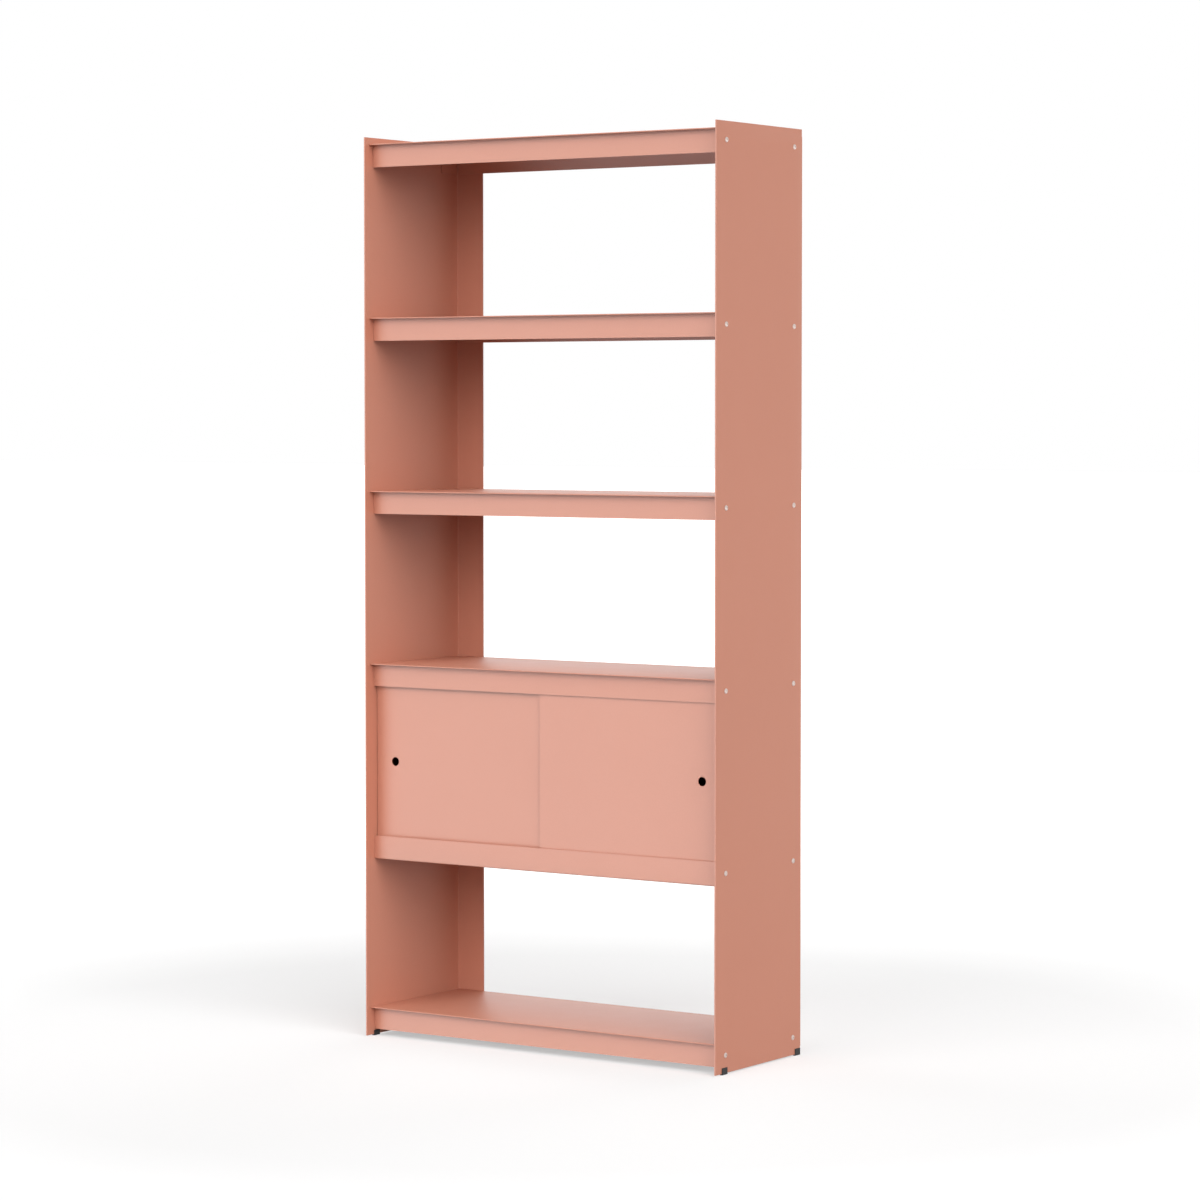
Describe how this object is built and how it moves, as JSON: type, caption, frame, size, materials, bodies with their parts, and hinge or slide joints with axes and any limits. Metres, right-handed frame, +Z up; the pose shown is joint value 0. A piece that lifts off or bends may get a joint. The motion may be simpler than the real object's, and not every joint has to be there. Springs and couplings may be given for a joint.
{
  "type": "bookcase with sliding doors",
  "caption": "Tall free-standing bookcase of folded painted sheet steel: open shelves between side panels, and a low cabinet closed by flat sliding doors with finger holes.",
  "frame": {"origin": "on the floor under the middle of the bookcase, at the centre of its outer box", "axes": "+X along the shelves towards the right side panel as seen from the front, +Y from the front to the back, +Z up"},
  "size_m": [0.8054, 0.302, 1.7345],
  "materials": {
    "salmon_paint": "satin powder coat, fine even texture",
    "screw_steel": "plain zinc-bright steel",
    "black_plastic": "moulded, matt",
    "track_plastic": "extruded, matt"
  },
  "bodies": {
    "carcass": {"left_side_panel": "salmon_paint", "right_side_panel": "salmon_paint", "bottom_shelf": "salmon_paint", "cabinet_floor": "salmon_paint", "cabinet_top_shelf": "salmon_paint", "middle_shelf": "salmon_paint", "upper_shelf": "salmon_paint", "top_shelf": "salmon_paint", "cabinet_back_panel": "salmon_paint", "left_bottom_shelf_front_screw": "screw_steel", "left_bottom_shelf_rear_screw": "screw_steel", "left_cabinet_floor_front_screw": "screw_steel", "left_cabinet_floor_rear_screw": "screw_steel", "left_cabinet_top_shelf_front_screw": "screw_steel", "left_cabinet_top_shelf_rear_screw": "screw_steel", "left_middle_shelf_front_screw": "screw_steel", "left_middle_shelf_rear_screw": "screw_steel", "left_upper_shelf_front_screw": "screw_steel", "left_upper_shelf_rear_screw": "screw_steel", "left_top_shelf_front_screw": "screw_steel", "left_top_shelf_rear_screw": "screw_steel", "right_bottom_shelf_front_screw": "screw_steel", "right_bottom_shelf_rear_screw": "screw_steel", "right_cabinet_floor_front_screw": "screw_steel", "right_cabinet_floor_rear_screw": "screw_steel", "right_cabinet_top_shelf_front_screw": "screw_steel", "right_cabinet_top_shelf_rear_screw": "screw_steel", "right_middle_shelf_front_screw": "screw_steel", "right_middle_shelf_rear_screw": "screw_steel", "right_upper_shelf_front_screw": "screw_steel", "right_upper_shelf_rear_screw": "screw_steel", "right_top_shelf_front_screw": "screw_steel", "right_top_shelf_rear_screw": "screw_steel", "back_panel_bottom_left_screw": "screw_steel", "back_panel_bottom_right_screw": "screw_steel", "back_panel_top_left_screw": "screw_steel", "back_panel_top_right_screw": "screw_steel", "left_front_foot": "black_plastic", "left_rear_foot": "black_plastic", "right_front_foot": "black_plastic", "right_rear_foot": "black_plastic", "door_bottom_track": "track_plastic", "door_top_track": "track_plastic"},
    "left_door": {"left_door": "salmon_paint", "left_door_outer_glide": "black_plastic", "left_door_inner_glide": "black_plastic"},
    "right_door": {"right_door": "salmon_paint", "right_door_outer_glide": "black_plastic", "right_door_inner_glide": "black_plastic"}
  },
  "joints": [
    {"name": "left_door_slide", "type": "slide", "parent": "carcass", "child": "left_door", "axis": [1, 0, 0], "range_m": [0, 0.387]},
    {"name": "right_door_slide", "type": "slide", "parent": "carcass", "child": "right_door", "axis": [-1, 0, 0], "range_m": [0, 0.387]}
  ]
}
